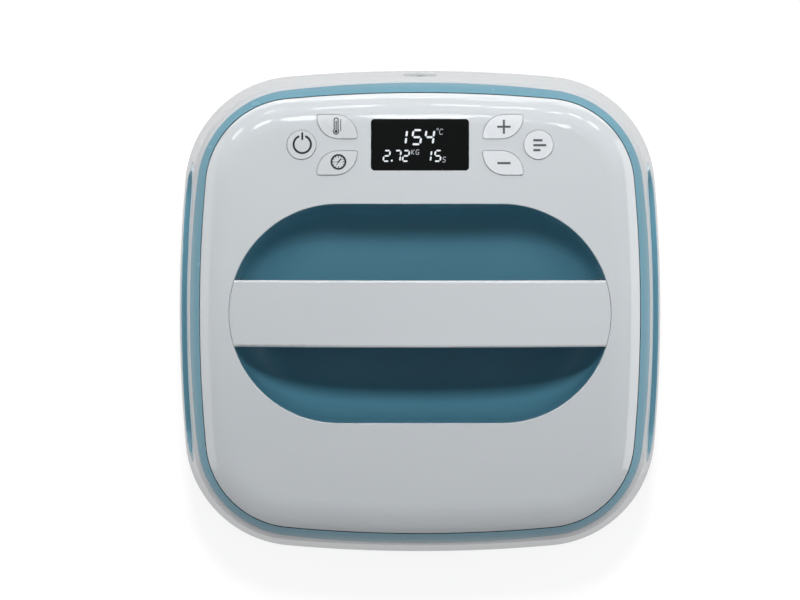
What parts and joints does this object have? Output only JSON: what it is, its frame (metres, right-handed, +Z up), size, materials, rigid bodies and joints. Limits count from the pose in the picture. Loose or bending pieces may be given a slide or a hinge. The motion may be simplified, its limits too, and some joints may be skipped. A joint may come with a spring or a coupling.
{
  "type": "handheld heat press",
  "caption": "Square crowned heat press with a bar handle bridging a scooped pocket, side grips, a display and press keys above a flat heated plate.",
  "frame": {"origin": "middle of the pressing face, which is the underside of the plate", "axes": "+Z up, +Y towards the display and the cord, +X to the right seen from the front"},
  "size_m": [0.29, 0.29, 0.1059],
  "materials": {
    "shell": "glossy moulded plastic, warm white",
    "accent": "satin moulded plastic, dusty teal",
    "key": "glossy moulded plastic, white",
    "window": "smoked acrylic over the display",
    "gland": "moulded rubber",
    "heat_rim": "heat-resistant plastic, black",
    "plate": "cast aluminium with a dark non-stick coating",
    "element": "heat-tinted steel tube",
    "mat": "glass-fibre felt",
    "steel": "zinc-plated sheet steel",
    "screw": "zinc-plated steel",
    "board": "green circuit board",
    "component": "black moulded component",
    "core": "varnished transformer core",
    "can": "sleeved aluminium can",
    "silicone": "translucent silicone",
    "clamp": "natural nylon"
  },
  "bodies": {
    "root": {"accent_ring": "accent", "board_screws": "screw", "buzzer": "component", "capacitor": "can", "cell_screws": "screw", "clamp_screws": "screw", "control_board": "board", "control_chips": "component", "cord_clamp": "clamp", "cord_gland": "gland", "display_module": "component", "display_window": "window", "frame_screws": "screw", "handle_lower": "shell", "handle_screws": "screw", "handle_strap": "steel", "handle_upper": "shell", "heat_shield": "steel", "heating_element": "element", "heating_plate": "plate", "housing_screws": "screw", "insulation_mat": "mat", "liner_screws": "screw", "load_cells": "steel", "lower_housing": "shell", "minus_dome": "silicone", "plate_frame": "heat_rim", "plate_standoffs": "steel", "plus_dome": "silicone", "pocket_liner": "accent", "power_board": "board", "power_dome": "silicone", "preset_dome": "silicone", "relay": "component", "side_grip_left": "accent", "side_grip_right": "accent", "temperature_dome": "silicone", "temperature_sensor": "component", "terminal_block": "clamp", "thermostat": "can", "tilt_switch": "can", "timer_dome": "silicone", "top_shell": "shell", "transformer": "core"},
    "power_button": {"power_key": "key"},
    "preset_button": {"preset_key": "key"},
    "temperature_button": {"temperature_key": "key"},
    "timer_button": {"timer_key": "key"},
    "plus_button": {"plus_key": "key"},
    "minus_button": {"minus_key": "key"}
  },
  "joints": [
    {"name": "power_press", "type": "slide", "parent": "root", "child": "power_button", "axis": [0, 0, -1], "range_m": [0, 0.0009], "stiffness_N_per_m": 1500, "deforming": ["power_dome"]},
    {"name": "preset_press", "type": "slide", "parent": "root", "child": "preset_button", "axis": [0, 0, -1], "range_m": [0, 0.0009], "stiffness_N_per_m": 1500, "deforming": ["preset_dome"]},
    {"name": "temperature_press", "type": "slide", "parent": "root", "child": "temperature_button", "axis": [0, 0, -1], "range_m": [0, 0.0009], "stiffness_N_per_m": 1500, "deforming": ["temperature_dome"]},
    {"name": "timer_press", "type": "slide", "parent": "root", "child": "timer_button", "axis": [0, 0, -1], "range_m": [0, 0.0009], "stiffness_N_per_m": 1500, "deforming": ["timer_dome"]},
    {"name": "plus_press", "type": "slide", "parent": "root", "child": "plus_button", "axis": [0, 0, -1], "range_m": [0, 0.0009], "stiffness_N_per_m": 1500, "deforming": ["plus_dome"]},
    {"name": "minus_press", "type": "slide", "parent": "root", "child": "minus_button", "axis": [0, 0, -1], "range_m": [0, 0.0009], "stiffness_N_per_m": 1500, "deforming": ["minus_dome"]}
  ]
}
